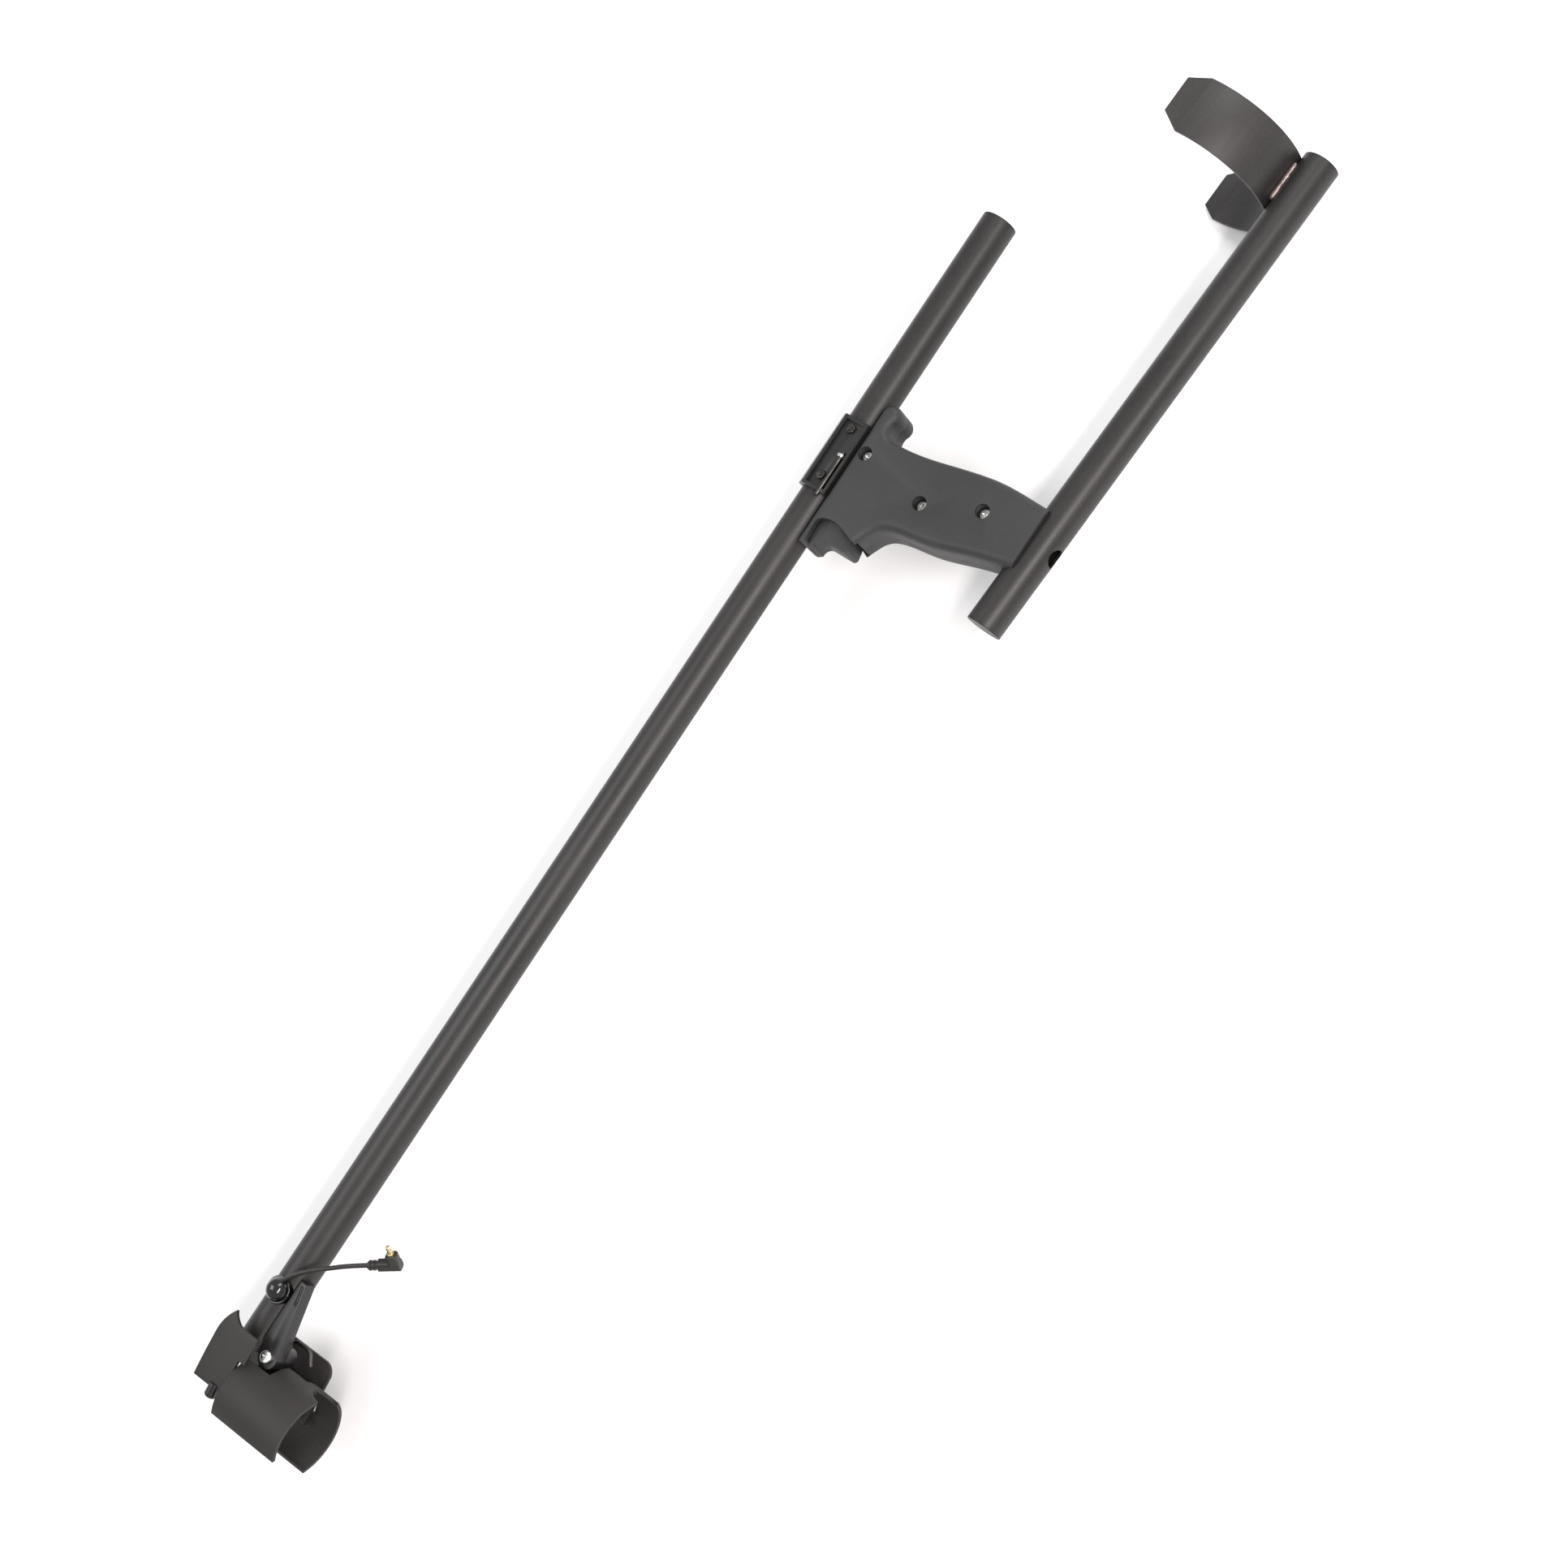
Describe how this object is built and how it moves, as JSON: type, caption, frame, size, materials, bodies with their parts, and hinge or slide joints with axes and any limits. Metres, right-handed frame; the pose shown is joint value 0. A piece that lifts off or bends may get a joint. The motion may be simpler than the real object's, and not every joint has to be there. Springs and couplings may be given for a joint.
{
  "type": "metal detector carrying pole",
  "caption": "Arm-braced metal detector pole: pistol grip with trigger, forearm cuff on a lower tube, and a hinged front cradle with a short plug lead.",
  "frame": {"origin": "centre of the main tube's rear end face", "axes": "+X along the main tube towards its rear end, +Y from the arm tube towards the main tube, +Z square to the object's middle plane; it lies on its side"},
  "size_m": [1.0841, 0.2058, 0.122],
  "materials": {
    "black_tube": "satin black paint",
    "cuff_paint": "satin charcoal paint",
    "weld": "bare weld under thin paint",
    "black_plastic": "matte",
    "grip_plastic": "fine texture",
    "steel": "zinc plated",
    "dark_steel": "blackened",
    "black_metal": "satin",
    "gloss_rubber": "glossy",
    "cable_rubber": "satin",
    "gold_steel": "nickel over brass",
    "cradle_rubber": "matte rubber coated sheet"
  },
  "bodies": {
    "pole": {"main_tube": "black_tube", "main_tube_rear_plug": "black_plastic", "main_tube_front_plug": "black_plastic", "arm_tube": "black_tube", "arm_tube_rear_plug": "black_plastic", "arm_tube_front_plug": "black_plastic", "arm_cuff": "cuff_paint", "cuff_weld_beads": "weld", "grip_near_shell": "grip_plastic", "grip_far_shell": "grip_plastic", "grip_screws": "steel", "grip_end_screw": "steel", "grip_end_nut": "steel", "trigger_pin": "steel", "trigger_spring": "steel", "micro_switch": "black_plastic", "clamp_bracket": "black_metal", "bracket_top_screws": "black_metal", "bracket_recess_screws": "dark_steel", "cable_grommet": "gloss_rubber", "plug_lead": "cable_rubber", "plug_strain_relief": "cable_rubber", "plug_body": "cable_rubber", "plug_tip": "gold_steel", "hinge_arm": "black_metal", "hinge_bolt": "steel", "hinge_nut": "steel"},
    "trigger_body": {"trigger": "grip_plastic"},
    "rod_body": {"slide_rod": "dark_steel", "slide_rod_collar": "steel"},
    "cradle": {"cradle_near_cheek": "cradle_rubber", "cradle_far_cheek": "cradle_rubber", "cradle_spine": "black_metal", "cradle_clip": "cradle_rubber", "cradle_rivets": "dark_steel", "cradle_bumpers": "gloss_rubber", "cradle_hook": "dark_steel"}
  },
  "joints": [
    {"name": "trigger_pull", "type": "hinge", "parent": "pole", "child": "trigger_body", "pos_m": [-0.229, -0.0235, 0], "axis": [0, 0, 1], "range_deg": [0, 10], "stiffness_Nm_per_rad": 0.8, "springref_deg": -2.86, "deforming": ["trigger_spring"]},
    {"name": "rod_slide", "type": "slide", "parent": "pole", "child": "rod_body", "axis": [1, 0, 0], "range_m": [0, 0.004]},
    {"name": "cradle_tilt", "type": "hinge", "parent": "pole", "child": "cradle", "pos_m": [-0.903, -0.022, 0], "axis": [0, 0, 1], "range_deg": [-12, 45]}
  ]
}
